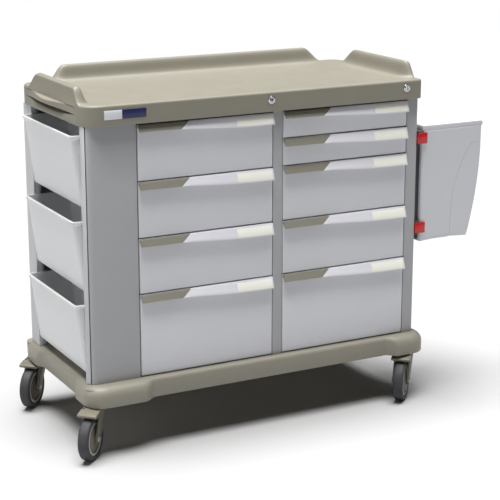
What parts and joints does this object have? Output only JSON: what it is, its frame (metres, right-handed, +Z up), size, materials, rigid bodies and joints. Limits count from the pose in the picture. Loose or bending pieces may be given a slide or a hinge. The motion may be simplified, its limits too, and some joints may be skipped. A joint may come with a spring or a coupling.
{
  "type": "medication cart",
  "caption": "Medication cart with two columns of drawers, tilt-out side bins, a lidded waste bin, a raised-rim worktop and braked swivel casters.",
  "frame": {"origin": "on the floor, under the middle of the whole cart seen from above", "axes": "+Z up, drawers face -Y, tilt-out bins at -X, waste bin at +X"},
  "size_m": [1.3644, 0.5848, 1.033],
  "materials": {
    "taupe_moulding": "satin moulded taupe",
    "grey_panel": "powder coated mid grey",
    "light_strip": "powder coated light grey",
    "dark_lining": "dark grey powder coat",
    "slide_steel": "zinc plated",
    "label": "smooth plain plate",
    "chrome": "polished",
    "waste_white": "fine satin",
    "red_clip": "smooth",
    "tray_white": "fine satin",
    "clear_bin": "translucent white",
    "drawer_front": "satin light grey",
    "caster_housing": "satin taupe",
    "tyre": "soft grey black rubber",
    "wheel_disc": "satin taupe"
  },
  "bodies": {
    "root": {"worktop": "taupe_moulding", "push_handle": "taupe_moulding", "base": "taupe_moulding", "front_left_panel": "grey_panel", "bin_bay_stiles": "light_strip", "bin_bay_divider": "dark_lining", "centre_divider": "dark_lining", "right_side_panel": "grey_panel", "back_panel": "grey_panel", "front_posts": "grey_panel", "runner_rails": "slide_steel", "panel_screws": "slide_steel", "label_plate": "label", "lock_barrels": "chrome", "waste_bin_bracket": "dark_lining", "waste_bin_body": "waste_white", "waste_bin_cover": "waste_white"},
    "left_drawer_1": {"left_drawer_1_tray": "tray_white", "left_drawer_1_front": "drawer_front"},
    "left_drawer_2": {"left_drawer_2_tray": "tray_white", "left_drawer_2_front": "drawer_front"},
    "left_drawer_3": {"left_drawer_3_tray": "tray_white", "left_drawer_3_front": "drawer_front"},
    "left_drawer_4": {"left_drawer_4_tray": "tray_white", "left_drawer_4_front": "drawer_front"},
    "right_drawer_1": {"right_drawer_1_tray": "tray_white", "right_drawer_1_front": "drawer_front"},
    "right_drawer_2": {"right_drawer_2_tray": "tray_white", "right_drawer_2_front": "drawer_front"},
    "right_drawer_3": {"right_drawer_3_tray": "tray_white", "right_drawer_3_front": "drawer_front"},
    "right_drawer_4": {"right_drawer_4_tray": "tray_white", "right_drawer_4_front": "drawer_front"},
    "right_drawer_5": {"right_drawer_5_tray": "tray_white", "right_drawer_5_front": "drawer_front"},
    "tilt_bin_1": {"tilt_bin_1": "clear_bin"},
    "tilt_bin_2": {"tilt_bin_2": "clear_bin"},
    "tilt_bin_3": {"tilt_bin_3": "clear_bin"},
    "waste_bin_lid": {"waste_bin_lid": "waste_white"},
    "lower_clip": {"lower_clip": "red_clip"},
    "upper_clip": {"upper_clip": "red_clip"},
    "left_lock_plug": {"left_lock_plug": "chrome"},
    "right_lock_plug": {"right_lock_plug": "chrome"},
    "front_left_caster": {"front_left_caster_fork": "caster_housing"},
    "front_left_wheel": {"front_left_wheel": "wheel_disc", "front_left_tyre": "tyre"},
    "front_left_pedal": {"front_left_brake_pedal": "caster_housing"},
    "rear_left_caster": {"rear_left_caster_fork": "caster_housing"},
    "rear_left_wheel": {"rear_left_wheel": "wheel_disc", "rear_left_tyre": "tyre"},
    "rear_left_pedal": {"rear_left_brake_pedal": "caster_housing"},
    "front_right_caster": {"front_right_caster_fork": "caster_housing"},
    "front_right_wheel": {"front_right_wheel": "wheel_disc", "front_right_tyre": "tyre"},
    "front_right_pedal": {"front_right_brake_pedal": "caster_housing"},
    "rear_right_caster": {"rear_right_caster_fork": "caster_housing"},
    "rear_right_wheel": {"rear_right_wheel": "wheel_disc", "rear_right_tyre": "tyre"},
    "rear_right_pedal": {"rear_right_brake_pedal": "caster_housing"}
  },
  "joints": [
    {"name": "left_drawer_1_slide", "type": "slide", "parent": "root", "child": "left_drawer_1", "axis": [0, -1, 0], "range_m": [0, 0.36]},
    {"name": "left_drawer_2_slide", "type": "slide", "parent": "root", "child": "left_drawer_2", "axis": [0, -1, 0], "range_m": [0, 0.36]},
    {"name": "left_drawer_3_slide", "type": "slide", "parent": "root", "child": "left_drawer_3", "axis": [0, -1, 0], "range_m": [0, 0.36]},
    {"name": "left_drawer_4_slide", "type": "slide", "parent": "root", "child": "left_drawer_4", "axis": [0, -1, 0], "range_m": [0, 0.36]},
    {"name": "right_drawer_1_slide", "type": "slide", "parent": "root", "child": "right_drawer_1", "axis": [0, -1, 0], "range_m": [0, 0.36]},
    {"name": "right_drawer_2_slide", "type": "slide", "parent": "root", "child": "right_drawer_2", "axis": [0, -1, 0], "range_m": [0, 0.36]},
    {"name": "right_drawer_3_slide", "type": "slide", "parent": "root", "child": "right_drawer_3", "axis": [0, -1, 0], "range_m": [0, 0.36]},
    {"name": "right_drawer_4_slide", "type": "slide", "parent": "root", "child": "right_drawer_4", "axis": [0, -1, 0], "range_m": [0, 0.36]},
    {"name": "right_drawer_5_slide", "type": "slide", "parent": "root", "child": "right_drawer_5", "axis": [0, -1, 0], "range_m": [0, 0.36]},
    {"name": "tilt_bin_1_tilt", "type": "hinge", "parent": "root", "child": "tilt_bin_1", "pos_m": [-0.6108, -0.00433, 0.244], "axis": [0, -1, 0], "range_deg": [0, 32]},
    {"name": "tilt_bin_2_tilt", "type": "hinge", "parent": "root", "child": "tilt_bin_2", "pos_m": [-0.6108, -0.00433, 0.48], "axis": [0, -1, 0], "range_deg": [0, 32]},
    {"name": "tilt_bin_3_tilt", "type": "hinge", "parent": "root", "child": "tilt_bin_3", "pos_m": [-0.6108, -0.00433, 0.716], "axis": [0, -1, 0], "range_deg": [0, 32]},
    {"name": "waste_lid_hinge", "type": "hinge", "parent": "root", "child": "waste_bin_lid", "pos_m": [0.4582, -0.10133, 0.83], "axis": [0, -1, 0], "range_deg": [0, 78]},
    {"name": "lower_clip_pivot", "type": "hinge", "parent": "root", "child": "lower_clip", "pos_m": [0.4512, -0.21633, 0.5325], "axis": [0, 0, -1], "range_deg": [0, 70]},
    {"name": "upper_clip_pivot", "type": "hinge", "parent": "root", "child": "upper_clip", "pos_m": [0.4512, -0.21633, 0.807], "axis": [0, 0, -1], "range_deg": [0, 70]},
    {"name": "left_lock_plug_turn", "type": "hinge", "parent": "root", "child": "left_lock_plug", "pos_m": [-0.0588, -0.23283, 0.965], "axis": [0, -1, 0], "range_deg": [0, 90]},
    {"name": "right_lock_plug_turn", "type": "hinge", "parent": "root", "child": "right_lock_plug", "pos_m": [0.3922, -0.23283, 0.965], "axis": [0, -1, 0], "range_deg": [0, 90]},
    {"name": "front_left_swivel", "type": "hinge", "parent": "root", "child": "front_left_caster", "pos_m": [-0.6028, -0.21083, 0.146], "axis": [0, 0, 1], "continuous": true},
    {"name": "front_left_roll", "type": "hinge", "parent": "front_left_caster", "child": "front_left_wheel", "pos_m": [-0.63059, -0.2396, 0.0625], "axis": [0.7193, -0.6947, 0], "continuous": true},
    {"name": "front_left_brake", "type": "hinge", "parent": "front_left_caster", "child": "front_left_pedal", "pos_m": [-0.62086, -0.22953, 0.14], "axis": [0.7193, -0.6947, 0], "range_deg": [0, 8]},
    {"name": "rear_left_swivel", "type": "hinge", "parent": "root", "child": "rear_left_caster", "pos_m": [-0.6028, 0.25917, 0.146], "axis": [0, 0, 1], "continuous": true},
    {"name": "rear_left_roll", "type": "hinge", "parent": "rear_left_caster", "child": "rear_left_wheel", "pos_m": [-0.63059, 0.2304, 0.0625], "axis": [0.7193, -0.6947, 0], "continuous": true},
    {"name": "rear_left_brake", "type": "hinge", "parent": "rear_left_caster", "child": "rear_left_pedal", "pos_m": [-0.62086, 0.24047, 0.14], "axis": [0.7193, -0.6947, 0], "range_deg": [0, 8]},
    {"name": "front_right_swivel", "type": "hinge", "parent": "root", "child": "front_right_caster", "pos_m": [0.4232, -0.21083, 0.146], "axis": [0, 0, 1], "continuous": true},
    {"name": "front_right_roll", "type": "hinge", "parent": "front_right_caster", "child": "front_right_wheel", "pos_m": [0.39541, -0.2396, 0.0625], "axis": [0.7193, -0.6947, 0], "continuous": true},
    {"name": "front_right_brake", "type": "hinge", "parent": "front_right_caster", "child": "front_right_pedal", "pos_m": [0.40514, -0.22953, 0.14], "axis": [0.7193, -0.6947, 0], "range_deg": [0, 8]},
    {"name": "rear_right_swivel", "type": "hinge", "parent": "root", "child": "rear_right_caster", "pos_m": [0.4232, 0.25917, 0.146], "axis": [0, 0, 1], "continuous": true},
    {"name": "rear_right_roll", "type": "hinge", "parent": "rear_right_caster", "child": "rear_right_wheel", "pos_m": [0.39541, 0.2304, 0.0625], "axis": [0.7193, -0.6947, 0], "continuous": true},
    {"name": "rear_right_brake", "type": "hinge", "parent": "rear_right_caster", "child": "rear_right_pedal", "pos_m": [0.40514, 0.24047, 0.14], "axis": [0.7193, -0.6947, 0], "range_deg": [0, 8]}
  ]
}
